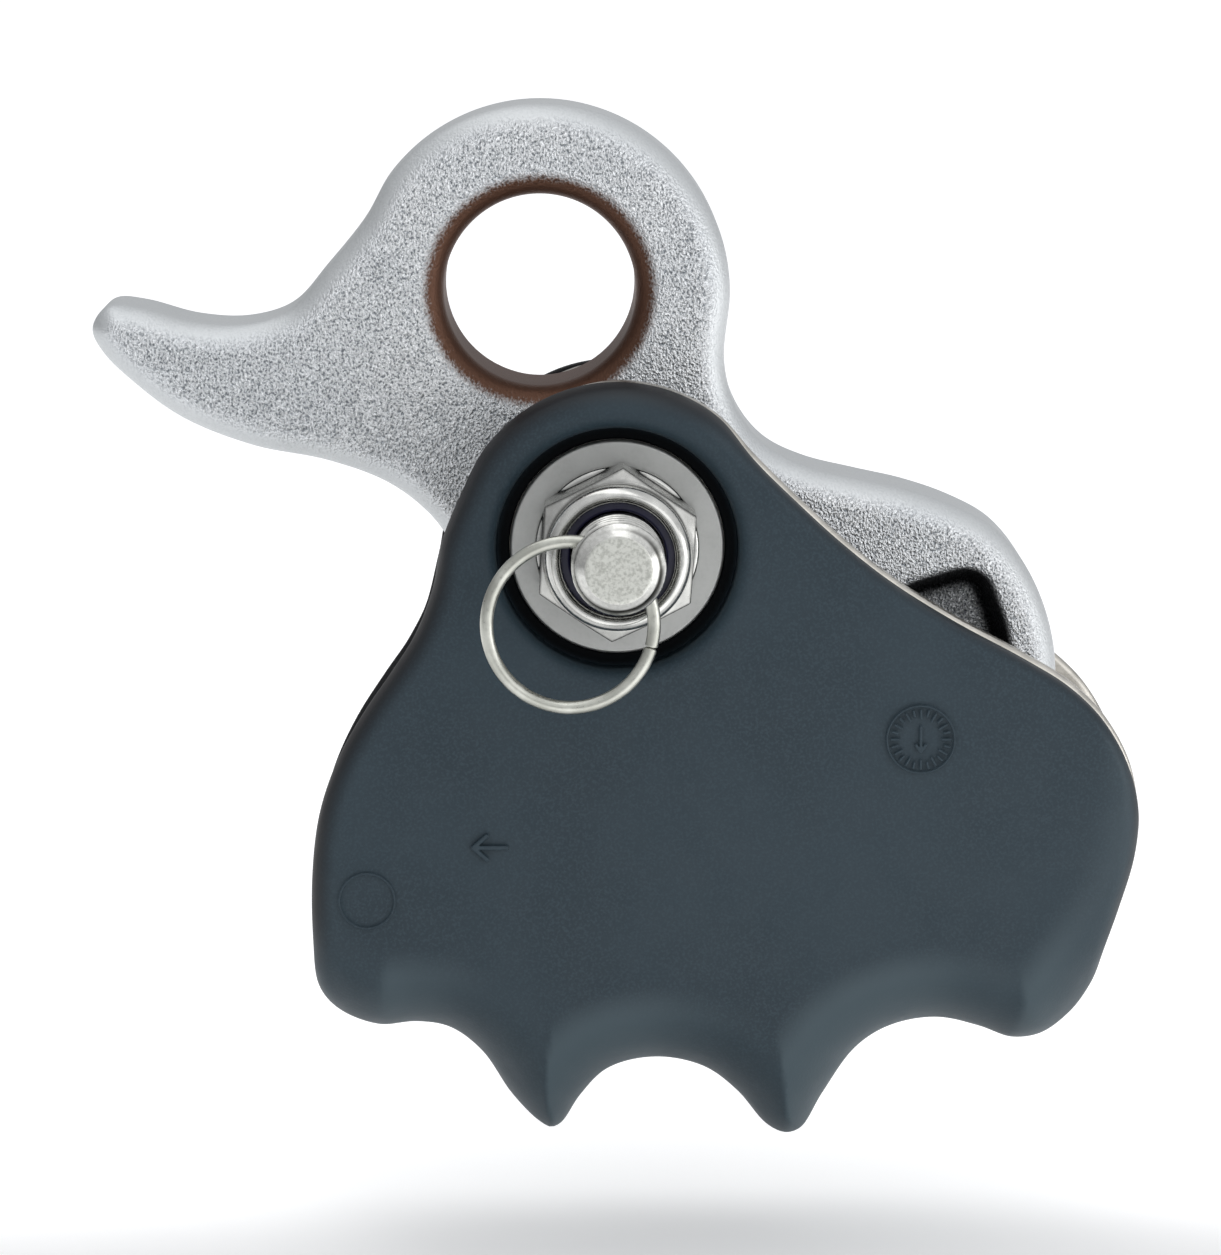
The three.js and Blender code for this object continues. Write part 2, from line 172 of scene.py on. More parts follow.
class Outline:
    """Signed distance to a closed loop in the XZ plane, kept on a fine grid and read between its cells."""

    CELL = 0.15
    REACH = 9.0  # distances beyond this are only known to be as large

    def __init__(self, loop, soften=0.15):
        cell, reach = self.CELL, self.REACH
        self.low = loop.min(0) - reach
        size = np.ceil((loop.max(0) + reach - self.low) / cell).astype(int) + 1
        xs = self.low[0] + cell * np.arange(size[0])
        zs = self.low[1] + cell * np.arange(size[1])
        far = np.full(size, reach)
        inside = np.zeros(size, bool)
        for a, b in zip(loop, np.roll(loop, -1, axis=0)):
            i0, i1 = np.searchsorted(xs, [min(a[0], b[0]) - reach, max(a[0], b[0]) + reach])
            j0, j1 = np.searchsorted(zs, [min(a[1], b[1]) - reach, max(a[1], b[1]) + reach])
            dx, dz = xs[i0:i1, None] - a[0], zs[None, j0:j1] - a[1]
            run = b - a
            along = np.clip((dx * run[0] + dz * run[1]) / (run @ run), 0, 1)
            window = far[i0:i1, j0:j1]
            np.minimum(window, np.hypot(dx - along * run[0], dz - along * run[1]), out=window)
            k0, k1 = np.searchsorted(xs, sorted([a[0], b[0]]))
            for k in range(k0, k1):
                inside[k] ^= zs > a[1] + (xs[k] - a[0]) / run[0] * run[1]
        values = np.where(inside, -far, far)
        taps = np.arange(-int(3 * soften / cell) - 1, int(3 * soften / cell) + 2)
        weights = np.exp(-0.5 * (taps * cell / soften) ** 2)
        weights /= weights.sum()
        for axis in (0, 1):
            values = sum(w * np.roll(values, t, axis) for w, t in zip(weights, taps))
        self.values = values

    def distance(self, x, z):
        u = np.clip((x - self.low[0]) / self.CELL, 0, self.values.shape[0] - 1.001)
        v = np.clip((z - self.low[1]) / self.CELL, 0, self.values.shape[1] - 1.001)
        i, j = u.astype(int), v.astype(int)
        u, v = u - i, v - j
        left = self.values[i, j] * (1 - v) + self.values[i, j + 1] * v
        right = self.values[i + 1, j] * (1 - v) + self.values[i + 1, j + 1] * v
        return left * (1 - u) + right * u


def channel_distance(y, z, half, floor):
    """Signed distance to the space inside a channel: flat floor, rounded corners, straight sides, no top."""
    flat_half = 3
    corner = half - flat_half
    across, down = np.abs(y) - flat_half, floor + corner - z
    outside = np.hypot(np.maximum(across, 0), np.maximum(down, 0))
    return outside + np.minimum(np.maximum(across, down), 0) - corner


def hex_distance(x, z, half, turn):
    """Signed distance to a hexagon with its first corner at an angle."""
    flats = [turn + math.radians(30 + 60 * k) for k in range(3)]
    return common(*(np.abs(x * math.cos(a) + z * math.sin(a)) - half for a in flats))


# -------------------------------------------------- meshes


def gradient(field, points, step=0.06):
    """The field's slope along each axis at each point."""
    slopes = []
    for axis in range(3):
        shift = np.zeros(3)
        shift[axis] = step
        slopes.append((field(*(points + shift).T) - field(*(points - shift).T)) / (2 * step))
    return np.stack(slopes, axis=1)


def surface_net(field, xs, ys, zs, relax=2):
    """Meshes the field's zero surface, with one vertex in each grid cell that it crosses and one quad across
    each grid edge. The vertices are then evened out along the surface and pulled exactly onto it."""
    axes = [np.asarray(a, float) for a in (xs, ys, zs)]
    values = field(axes[0][:, None, None], axes[1][None, :, None], axes[2][None, None, :])
    inside = values < 0
    cells = np.array(inside.shape) - 1
    ids, crossings = [], []
    for axis in range(3):
        lower = [slice(None)] * 3
        upper = [slice(None)] * 3
        lower[axis], upper[axis] = slice(0, -1), slice(1, None)
        lower, upper = tuple(lower), tuple(upper)
        at = np.argwhere(inside[lower] != inside[upper])
        end = at.copy()
        end[:, axis] += 1
        a, b = values[tuple(at.T)], values[tuple(end.T)]
        share = a / (a - b)
        place = np.stack([axes[k][at[:, k]] for k in range(3)], axis=1)
        place[:, axis] += share * (axes[axis][end[:, axis]] - axes[axis][at[:, axis]])
        second, third = (axis + 1) % 3, (axis + 2) % 3
        ring = []
        for back_second, back_third in ((1, 1), (0, 1), (0, 0), (1, 0)):
            cell = at.copy()
            cell[:, second] -= back_second
            cell[:, third] -= back_third
            ring.append(np.ravel_multi_index(tuple(cell.T), tuple(cells)))
        ring = np.stack(ring, axis=1)
        inwards = ~inside[tuple(at.T)]
        ring[inwards] = ring[inwards][:, ::-1]
        ids.append(ring)
        crossings.append(place)
    ids = np.vstack(ids)
    crossings = np.repeat(np.vstack(crossings), 4, axis=0)
    used, faces = np.unique(ids.ravel(), return_inverse=True)
    faces = faces.reshape(-1, 4)
    hits = np.bincount(faces.ravel())
    points = np.stack([np.bincount(faces.ravel(), crossings[:, k]) / hits for k in range(3)], axis=1)

    step = min(np.diff(a).min() for a in axes)
    starts, ends = faces.ravel(), np.roll(faces, -1, axis=1).ravel()
    for turn in range(relax + 1):
        if turn:
            near = np.stack([np.bincount(starts, points[ends, k]) + np.bincount(ends, points[starts, k])
                             for k in range(3)], axis=1)
            count = np.bincount(starts) + np.bincount(ends)
            points += 0.6 * (near / count[:, None] - points)
        for _ in range(3):
            slope = gradient(field, points)
            pull = slope * (field(*points.T) / np.maximum((slope**2).sum(1), 0.05))[:, None]
            length = np.linalg.norm(pull, axis=1)[:, None]
            points -= pull * np.minimum(1, step / np.maximum(length, 1e-9))
    return points, faces, gradient(field, points)


def soft_corners(profile, radius, steps=5):
    """A closed profile of (radius, y) corners, each rounded: its points and their outward normals."""
    profile = np.array(profile, float)
    area = sum(a[0] * b[1] - b[0] * a[1] for a, b in zip(profile, np.roll(profile, -1, axis=0)))
    if area < 0:
        profile = profile[::-1]
    points, normals = [], []
    for before, corner, after in zip(np.roll(profile, 1, axis=0), profile, np.roll(profile, -1, axis=0)):
        into = (corner - before) / np.linalg.norm(corner - before)
        out = (after - corner) / np.linalg.norm(after - corner)
        n0, n1 = np.array([into[1], -into[0]]), np.array([out[1], -out[0]])
        turn = math.atan2(into[0] * out[1] - into[1] * out[0], into @ out)
        back = radius * math.tan(abs(turn) / 2)
        centre = corner - into * back - math.copysign(radius, turn) * n0
        for share in np.linspace(0, 1, steps + 1):
            angle = share * turn
            n = n0 * math.cos(angle) + np.array([-n0[1], n0[0]]) * math.sin(angle)
            points.append(centre + math.copysign(radius, turn) * n)
            normals.append(n)
    return np.array(points), np.array(normals)


def turned(profile, radius, sides=144):
    """A solid of revolution about the pivot's axis from a closed (radius, y) profile, its corners rounded."""
    shape, slant = soft_corners(profile, radius)
    angles = np.linspace(0, 2 * math.pi, sides, endpoint=False)
    cos, sin = np.cos(angles)[:, None], np.sin(angles)[:, None]
    count = len(shape)
    flat = np.ones((sides, 1))
    points = np.stack([cos * shape[:, 0], flat * shape[:, 1], sin * shape[:, 0]], axis=2).reshape(-1, 3)
    normals = np.stack([cos * slant[:, 0], flat * slant[:, 1], sin * slant[:, 0]], axis=2).reshape(-1, 3)
    points[:, 2] += PIVOT_HEIGHT
    i, j = np.meshgrid(np.arange(sides), np.arange(count), indexing="ij")
    i2, j2 = (i + 1) % sides, (j + 1) % count
    faces = np.stack([i * count + j, i * count + j2, i2 * count + j2, i2 * count + j], axis=2).reshape(-1, 4)
    return points, faces, normals


def swept(path, radius, sides=20, dome_depth=0.3):
    """A round wire along an open path, its two ends slightly domed."""
    path = np.asarray(path, float)
    tangents = np.gradient(path, axis=0)
    tangents /= np.linalg.norm(tangents, axis=1)[:, None]
    side = np.cross(tangents[0], (0.3, 0.9, 0.31))
    rows, normals = [], []
    dome = np.linspace(0, math.pi / 2, 6)[1:-1]
    stations = [(0, -math.sin(a), math.cos(a)) for a in dome[::-1]]
    stations += [(i, 0, 1) for i in range(len(path))]
    stations += [(len(path) - 1, math.sin(a), math.cos(a)) for a in dome]
    angles = np.linspace(0, 2 * math.pi, sides, endpoint=False)
    for index, push, spread in stations:
        tangent = tangents[index]
        side = side - tangent * (side @ tangent)
        side /= np.linalg.norm(side)
        other = np.cross(tangent, side)
        spoke = np.cos(angles)[:, None] * side + np.sin(angles)[:, None] * other
        rows.append(path[index] + radius * (spoke * spread + tangent * push * dome_depth))
        normals.append(spoke * spread + tangent * push)
    count = len(rows)
    tips = [path[0] - dome_depth * radius * tangents[0], path[-1] + dome_depth * radius * tangents[-1]]
    points = np.vstack(rows + [tips])
    normals = np.vstack(normals + [-tangents[:1], tangents[-1:]])
    faces = []
    for i in range(count - 1):
        for k in range(sides):
            k2 = (k + 1) % sides
            faces.append((i * sides + k, i * sides + k2, (i + 1) * sides + k2, (i + 1) * sides + k))
    first, last = count * sides, count * sides + 1
    for k in range(sides):
        k2 = (k + 1) % sides
        faces.append((first, k2, k))
        faces.append((last, (count - 1) * sides + k, (count - 1) * sides + k2))
    return points, faces, normals


def lines(low, high, step, margin=2):
    """Grid lines that cover a stretch and a little beyond."""
    count = math.ceil((high - low) / step) + 2 * margin
    middle = (low + high) / 2
    return middle + step * (np.arange(count + 1) - count / 2)


def new_object(name, data):
    """An object in the scene for a mesh, a light or a camera."""
    made = bpy.data.objects.new(name, data)
    bpy.context.scene.collection.objects.link(made)
    return made


def add_piece(name, shape, material, body, stands_for=(), masks=None):
    """Makes the object from points in millimetres, gives it its material and sets it on its body."""
    points, faces, normals = shape
    mesh = bpy.data.meshes.new(name)
    mesh.from_pydata((np.asarray(points) * MM).tolist(), [], np.asarray(faces, dtype=object).tolist())
    mesh.update()
    mesh.shade_smooth()
    unit_normals = normals / np.linalg.norm(normals, axis=1)[:, None]
    mesh.normals_split_custom_set_from_vertices(unit_normals.tolist())
    for mask, values in (masks or {}).items():
        mesh.attributes.new(mask, "FLOAT", "POINT").data.foreach_set("value", values.astype(np.float32))
    mesh.materials.append(material)
    piece = new_object(name, mesh)
    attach(piece, body)
    if stands_for:
        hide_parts(*stands_for)


# -------------------------------------------------- materials


def linear(red, green, blue):
    """A screen colour, 0 to 255, as the linear colour that a shader takes."""
    shades = [c / 255 for c in (red, green, blue)]
    return [s / 12.92 if s <= 0.04045 else ((s + 0.055) / 1.055) ** 2.4 for s in shades] + [1.0]


class Nodes:
    """Shorthand for building a node tree."""

    def __init__(self, tree):
        self.tree = tree

    def node(self, kind, **settings):
        made = self.tree.nodes.new(kind)
        for key, value in settings.items():
            setattr(made, key, value)
        return made

    def link(self, source, target):
        """Feeds an input from another node's output, or sets it to a value."""
        if isinstance(source, bpy.types.NodeSocket):
            self.tree.links.new(source, target)
        else:
            target.default_value = source

    def span(self, value, low, high, to_low=0.0, to_high=1.0):
        """The value rescaled from one range to another, and held inside it."""
        made = self.node("ShaderNodeMapRange", interpolation_type="SMOOTHSTEP")
        for socket, number in zip(made.inputs, (value, low, high, to_low, to_high)):
            self.link(number, socket)
        return made.outputs[0]

    def calc(self, operation, a, b):
        made = self.node("ShaderNodeMath", operation=operation)
        self.link(a, made.inputs[0])
        self.link(b, made.inputs[1])
        return made.outputs[0]


class Finish(Nodes):
    """A principled material whose colour, roughness and bump come from patterns in the object's own space."""

    def __init__(self, name, metallic):
        self.material = bpy.data.materials.new(name)
        self.material.use_nodes = True
        super().__init__(self.material.node_tree)
        self.tree.nodes.clear()
        self.shader = self.node("ShaderNodeBsdfPrincipled")
        self.shader.inputs["Metallic"].default_value = metallic
        output = self.node("ShaderNodeOutputMaterial")
        self.link(self.shader.outputs[0], output.inputs["Surface"])
        self.place = self.node("ShaderNodeTexCoord").outputs["Object"]

    def noise(self, size, detail=2.0, roughness=0.5, stretch=(1, 1, 1), warp=0.0):
        """Noise whose features are about `size` millimetres across."""
        mapping = self.node("ShaderNodeMapping")
        self.link(self.place, mapping.inputs["Vector"])
        mapping.inputs["Scale"].default_value = stretch
        made = self.node("ShaderNodeTexNoise")
        self.link(mapping.outputs[0], made.inputs["Vector"])
        made.inputs["Scale"].default_value = 1 / (size * MM)
        made.inputs["Detail"].default_value = detail
        made.inputs["Roughness"].default_value = roughness
        made.inputs["Distortion"].default_value = warp
        return made.outputs[0]

    def mask(self, name):
        """One of the masks that add_piece() stores on a mesh's points, from 0 to 1."""
        return self.node("ShaderNodeAttribute", attribute_name=name).outputs["Fac"]

    def blend(self, share, a, b):
        """Colour a turning into colour b."""
        made = self.node("ShaderNodeMix", data_type="RGBA")
        self.link(share, made.inputs["Factor"])
        colour_a, colour_b = (socket for socket in made.inputs if socket.type == "RGBA")
        self.link(a, colour_a)
        self.link(b, colour_b)
        return next(socket for socket in made.outputs if socket.type == "RGBA")

    def colour(self, value):
        self.link(value, self.shader.inputs["Base Color"])

    def rough(self, value):
        self.link(value, self.shader.inputs["Roughness"])

    def bump(self, height, depth, under=None):
        """Bumps of that depth, in millimetres, on top of an earlier bump's normal."""
        made = self.node("ShaderNodeBump")
        made.inputs["Strength"].default_value = 1.0
        made.inputs["Distance"].default_value = depth * MM
        self.link(height, made.inputs["Height"])
        if under is not None:
            self.link(under, made.inputs["Normal"])
        self.link(made.outputs[0], self.shader.inputs["Normal"])
        return made.outputs[0]


def soft_moulding():
    """Slate-grey rubbery plastic with a fine even grain. A painted sheen makes the grip paler; painted shade
    makes its rim darker and browner and the hollow round the washer near-black.
    """
    finish = Finish("soft_moulding", 0.0)
    cloud = finish.noise(14, detail=3)
    speck = finish.noise(0.22, detail=1)
    base = finish.blend(finish.span(cloud, 0.3, 0.7), linear(25, 41, 50), linear(31, 47, 56))
    base = finish.blend(finish.span(speck, 0.4, 0.75), base, linear(36, 52, 61))
    # painted sheen: the grip's lower slopes are painted paler, mostly right of each ridge, for light from
    # below and to the right
    base = finish.blend(finish.mask("painted_grip_sheen"), base, linear(58, 72, 79))
    # painted shade along the rim: a darker, browner colour for the shade its turned edge takes
    rim = finish.mask("rim")
    base = finish.blend(finish.calc("MULTIPLY", rim, 0.85), base, linear(27, 22, 22))
    # painted shade: the hollow round the washer is painted near-black for the deep shade in that gap
    painted_recess_shade = finish.mask("painted_recess_shade")
    finish.colour(finish.blend(painted_recess_shade, base, linear(10, 12, 14)))
    finish.rough(finish.span(finish.noise(3, detail=4), 0.25, 0.75, 0.5, 0.58))
    grain = finish.bump(finish.noise(0.3, detail=3, roughness=0.6), 0.014)
    finish.bump(finish.noise(5, detail=2), 0.04, grain)
    # painted shade in the hollow round the washer: its reflection is cut to almost nothing
    gloss = finish.span(painted_recess_shade, 0.0, 1.0, 0.38, 0.03)
    # painted shade along the rim: its reflection is cut as well
    gloss = finish.calc("SUBTRACT", gloss, finish.calc("MULTIPLY", rim, 0.14))
    finish.link(gloss, finish.shader.inputs["Specular IOR Level"])
    return finish.material


def cast_steel():
    """Shot-blasted cast steel: a leathery silver grain with painted shade in its pits and painted glints on
    its crests. It is smoother on its edges, which are also painted darker. A dark brown painted reflection
    sits inside and round the eye, and painted shade on the blind pockets' walls.
    """
    finish = Finish("cast_steel", 0.85)
    grain = finish.noise(0.22, detail=1.5, roughness=0.5, stretch=(1.15, 1, 0.9), warp=0.3)
    cloud = finish.noise(9, detail=3)
    smooth = finish.mask("edge")
    rugged = finish.span(smooth, 0.0, 0.9, 1.0, 0.08)
    # painted shade in the grain's pits and painted glints on its crests, on top of its real bump
    painted_pit_shade = finish.calc("MULTIPLY", finish.span(grain, 0.3, 0.52, 0.95, 0.0), rugged)
    crest = finish.calc("MULTIPLY", finish.span(grain, 0.5, 0.7, 0.0, 0.8), rugged)
    base = finish.blend(finish.span(cloud, 0.3, 0.7), linear(222, 225, 228), linear(231, 233, 235))
    # painted shade on the rounded edges: their colour is darker for the shade they take as they turn away;
    # their smoother, less grainy finish is real
    base = finish.blend(finish.span(smooth, 0.25, 1.0, 0.0, 0.75), base, linear(190, 193, 194))
    # painted shade in the grain's pits, then painted glints on its crests
    base = finish.blend(painted_pit_shade, base, linear(128, 134, 140))
    base = finish.blend(crest, base, linear(242, 244, 246))
    # painted reflection: the eye's bore and a blush round it are painted dark brown, speckled by the grain,
    # for the dark reflection they show
    speckled = finish.calc("ADD", finish.mask("eye"), finish.calc("MULTIPLY", grain, 0.7))
    base = finish.blend(finish.span(speckled, 0.6, 1.2), base, linear(92, 66, 53))
    # painted shade: the blind pockets' sloping walls are painted near-black for the shade and dark reflection
    # in them
    base = finish.blend(finish.mask("pocket_wall_shade"), base, linear(26, 27, 29))
    finish.colour(base)
    finish.rough(finish.span(smooth, 0.0, 1.0, 0.42, 0.5))
    coarse = finish.bump(finish.noise(3.2, detail=2), 0.05)
    finish.bump(finish.calc("MULTIPLY", grain, rugged), 0.6, coarse)
    return finish.material


def bolt_steel():
    """Bright plated steel with painted shade dark in its thread's roots, its sawn end paler, duller and
    speckled.
    """
    finish = Finish("bolt_steel", 1.0)
    marks = finish.noise(0.35, detail=3)
    base = finish.blend(finish.span(marks, 0.35, 0.7), linear(200, 200, 196), linear(216, 216, 212))
    speckle = finish.span(finish.noise(0.26, detail=2, roughness=0.6), 0.3, 0.62, 0.55, 0.0)
    end = finish.blend(speckle, linear(202, 203, 197), linear(140, 141, 134))
    # painted shade: the thread's roots are painted dark for the shade in them
    base = finish.blend(finish.mask("root"), base, linear(60, 60, 56))
    finish.colour(finish.blend(finish.mask("end"), base, end))
    finish.rough(finish.span(finish.mask("end"), 0.0, 1.0, 0.22, 0.5))
    finish.bump(marks, 0.006)
    return finish.material


def worked_steel(name, light, dark, rough, grain, depth, stretch=(1, 1, 1)):
    """Bright metal with a streaky or even grain in its colour, roughness and bump, darker where painted shade
    sits in seams and creases.
    """
    finish = Finish(name, 1.0)
    marks = finish.noise(grain, detail=4, roughness=0.65, stretch=stretch)
    cloud = finish.noise(2.5, detail=3)
    base = finish.blend(finish.span(cloud, 0.3, 0.72), light, dark)
    base = finish.blend(finish.span(marks, 0.3, 0.6, 0.35, 0.0), base, dark)
    # painted shade in seams and creases, where the mesh carries that mask
    finish.colour(finish.blend(finish.calc("MULTIPLY", finish.mask("painted_crease_shade"), 0.85), base, linear(52, 52, 50)))
    finish.rough(finish.span(marks, 0.25, 0.75, rough - 0.07, rough + 0.1))
    finish.bump(marks, depth)
    return finish.material


def dull_plastic(name, light, dark, rough):
    """A plain moulded or turned plastic, a little uneven in colour and gloss."""
    finish = Finish(name, 0.0)
    finish.colour(finish.blend(finish.span(finish.noise(1.5, detail=3), 0.3, 0.7), light, dark))
    finish.rough(finish.span(finish.noise(0.8, detail=3), 0.3, 0.7, rough - 0.06, rough + 0.06))
    finish.bump(finish.noise(0.3, detail=2), 0.01)
    return finish.material


def studio_paper():
    """White paper, greyer far in front and on the left, that glows behind the tool and a little before it."""
    finish = Finish("studio_paper", 0.0)
    split = finish.node("ShaderNodeSeparateXYZ")
    finish.link(finish.place, split.inputs[0])
    across, depth = split.outputs["X"], split.outputs["Y"]
    white = finish.blend(finish.noise(60, detail=2), linear(250, 250, 250), linear(253, 253, 253))
    front = finish.span(depth, -0.6, -0.2, 1.0, 0.0)
    left = finish.span(across, -0.4, -0.07, 1.0, 0.0)
    left = finish.calc("MULTIPLY", left, finish.span(depth, -0.3, 0.1, 1.0, 0.0))
    finish.colour(finish.blend(finish.calc("MAXIMUM", front, left), white, linear(150, 151, 153)))
    finish.rough(0.9)
    finish.bump(finish.noise(1.2, detail=3), 0.01)
    finish.shader.inputs["Emission Color"].default_value = (1, 1, 1, 1)
    apron = finish.span(depth, -0.3, -0.18, 0.0, 0.9)
    apron = finish.calc("MULTIPLY", apron, finish.span(depth, -0.07, -0.034, 1.0, 0.0))
    apron = finish.calc("MULTIPLY", apron, finish.span(across, -0.1, 0.1, 0.3, 1.0))
    behind = finish.span(depth, -0.016, 0.012, 0.0, 0.3)
    glow = finish.calc("ADD", finish.span(depth, -0.3, -0.1, 0.0, 0.06), behind)
    finish.link(finish.calc("ADD", apron, glow), finish.shader.inputs["Emission Strength"])
    return finish.material


# -------------------------------------------------- the shell: cover and channel


def shell_points():
    """Side view of the cover and the channel, measured from the pivot, and its lower edge on its own:
    two grip points and three finger grooves."""
    right_flank = [
        (15.4, 3.9), (19, 0.6), (23.3, -2.8), (28.7, -6.2), (34.6, -9.4), (38.6, -11.9), (41.6, -14.9),
        (43.7, -18.8), (44.4, -22.8), (44.1, -26.8), (42.9, -31.2), (41.8, -35.2), (41.1, -39),
    ]
    grip_edge = [
        (39.6, -41.6), (36.9, -43.6), (34, -44), (31.1, -43), (27.6, -42.25), (23.9, -42.9), (21.1, -44.7),
        (18.3, -48.7), (16.4, -51.8), (14.6, -52.4), (12.7, -51.6), (10.1, -48.6), (7.3, -46.5), (3.4, -45.7),
        (-0.4, -46.6), (-2.7, -48.9), (-4.4, -51.4), (-5.7, -51.9), (-7.1, -51.2), (-9.5, -48.7), (-12, -45),
        (-14.6, -43), (-17.2, -42.55), (-20.4, -42.8), (-23.7, -41.7),
    ]
    left_flank = [
        (-25.5, -38.9), (-25.9, -34), (-25.95, -28.5), (-25.3, -22.8), (-23.7, -18), (-21.55, -14.1),
        (-19.3, -10.8), (-17.1, -7.4), (-15.6, -3.6), (-14.8, 0.4),
    ]
    return arc(0, 0, 13.9, 162, 33, 8) + right_flank + grip_edge + left_flank, grip_edge


whole_shell, grip_edge = shell_points()
shell_outline = Outline(smooth_curve(whole_shell, True, 9) + (0, PIVOT_HEIGHT))

# the grip's edge, carried on outside both flanks and closed high above
beyond_right = [(49, -23), (46.6, -31), (44.2, -35.6), (41.7, -39)]
beyond_left = [(-26.8, -39.6), (-29.3, -36.2), (-30.5, -31), (-31, -22)]
grip_curve = smooth_curve(beyond_right + grip_edge + beyond_left, False, 9)
grip_outline = Outline(np.vstack([grip_curve, [(-31, 20), (49, 20)]]) + (0, PIVOT_HEIGHT))

FLANK_LEAN = 1.38  # how far the left flank of the far side stands in from the near side's
RECESS = 10.2  # radius of the hollow that holds the washer
SKIN = 0.6  # moulding left on the plate in that hollow
PLATE_EDGE = 0.45
GRIP_INSET, GRIP_LEAD = 8.9, 13.5  # how far the grip's rounding reaches up the face and in towards the middle


def shell_edge(x, y, z):
    """Signed distance to the side view, whose left flank leans in a little towards the far side."""
    height = smooth_step((z - 7) / 16) * smooth_step((32 - z) / 9)
    lean = FLANK_LEAN * height * (y + SIDE_HALF) / (2 * SIDE_HALF) * smooth_step(-x / 8)
    return shell_outline.distance(x - lean, z)


def in_the_round(edge, y, inset, lead, power):
    """The space inside an outline whose edge rounds over, by inset across the face and lead down the side."""
    rim = np.maximum(edge / inset + 1, 0)
    side = np.maximum((np.abs(y) - SIDE_HALF) / lead + 1, 0)
    whole = np.maximum((rim**power + side**power) ** (1 / power), 0.02)
    slope = np.hypot((rim / whole) ** (power - 1) / inset, (side / whole) ** (power - 1) / lead)
    return np.maximum((whole - 1) / np.maximum(slope, 0.05), -6)


def cover_field(x, y, z):
    """The side view with a small edge radius round the flanks and a full U along the grip.
    Where the arm swings, on the right, the edge is tighter and the plate shows past it."""
    by_arm = smooth_step((x - 7) / 6) * smooth_step((z - 11) / 6)
    flanks = in_the_round(shell_edge(x, y, z) + 0.3 * by_arm, y, 1.7 - 0.8 * by_arm, 3.3 - 1.5 * by_arm, 2)
    grip = in_the_round(grip_outline.distance(x, z), y, GRIP_INSET, GRIP_LEAD, 2.25)
    body = soft_max(flanks, grip, 1.2)
    hollow = channel_distance(y, z, PLATE_OUTER + BOND_GAP, -PLATE - BOND_GAP)
    body = soft_max(body, -hollow, 0.4)
    from_pivot = np.hypot(x, z - PIVOT_HEIGHT)
    above_plate = np.abs(y) - PLATE_OUTER - BOND_GAP
    cut = np.maximum(from_pivot - RECESS, SKIN - above_plate)
    body = soft_max(body, -cut, 0.2 + 1.2 * smooth_step((above_plate - 1.2) / 1.4))
    return soft_max(body, WASHER_RADIUS + 0.04 - from_pivot, 0.15)


def cover_masks(x, y, z):
    """Painted light on the cover: a sheen on the grip's lower slopes, mostly right of each ridge; shade that
    darkens its rim; and shade that blackens the hollow round the washer.
    """
    to_grip = grip_outline.distance(x, z)
    rightward = (grip_outline.distance(x + 0.3, z) - grip_outline.distance(x - 0.3, z)) / 0.6
    # painted sheen, strongest on slopes that face right, where light from below and to the right would fall
    painted_grip_sheen = smooth_step((to_grip + 8.8) / 3.2) * (0.2 + 0.8 * smooth_step(0.65 + 1.2 * rightward))
    on_right = smooth_step((x - 4) / 8)
    # painted shade along the rim, weaker on the right and only above the grip
    rim = smooth_step(1 + shell_edge(x, y, z) / (2.2 - 1.1 * on_right)) * smooth_step((z + 3) / 8)
    # painted shade on the skin and walls of the hollow round the washer, below the face
    painted_recess_shade = smooth_step((RECESS + 0.7 - np.hypot(x, z - PIVOT_HEIGHT)) / 1.2)
    return {
        "painted_grip_sheen": painted_grip_sheen * (1 - 0.7 * smooth_step((x - 35) / 6)),
        "rim": rim * (1 - 0.3 * on_right),
        "painted_recess_shade": painted_recess_shade * smooth_step((SIDE_HALF - 0.7 - np.abs(y)) / 1.2),
    }


def make_cover(material):
    """The grid is finest across the thin skin over the plates."""
    low, high = box_mm("grip_moulding")
    step = 0.4
    inner = np.arange(step / 2, PLATE_OUTER - 0.5, step)
    skin = np.arange(inner[-1] + 0.25, PLATE_OUTER + 1.2, 0.15)
    outer = np.arange(skin[-1] + 0.3, SIDE_HALF + 1, 0.36)
    half = np.concatenate([inner, skin, outer])
    ys = np.concatenate([-half[::-1], half])
    shape = surface_net(cover_field, lines(low[0], high[0], step), ys, lines(low[2], high[2], step))
    masks = cover_masks(*shape[0].T)
    add_piece("moulded_cover", shape, material, "shell", ["grip_moulding"], masks)


def channel_field(x, y, z):
    """A plate folded into a U, with holes for the bolt and, in the front plate, the spring's foot."""
    rim_inset = 0.8  # the cover wraps the channel's left edge
    edge = np.maximum(shell_edge(x, y, z), shell_edge(x - rim_inset, y, z))
    wall = np.maximum(channel_distance(y, z, PLATE_OUTER, -PLATE), -channel_distance(y, z, CHANNEL_HALF, 0))
    body = rounded(edge, wall, PLATE_EDGE)
    body = soft_max(body, BOLT_RADIUS + 0.2 - np.hypot(x, z - PIVOT_HEIGHT), 0.4)
    foot_x, foot_z = SPRING_RADIUS * math.cos(SPRING_FOOT), SPRING_RADIUS * math.sin(SPRING_FOOT)
    foot_hole = np.hypot(x - foot_x, z - PIVOT_HEIGHT - foot_z) - 0.7
    return np.where(y < 0, soft_max(body, -foot_hole, 0.3), body)


def make_channel(material):
    low, high = box_mm("channel")
    shape = surface_net(channel_field, *(lines(low[k], high[k], 0.36) for k in range(3)))
    add_piece("folded_channel", shape, material, "shell", ["channel"])


# -------------------------------------------------- marks moulded on the cover


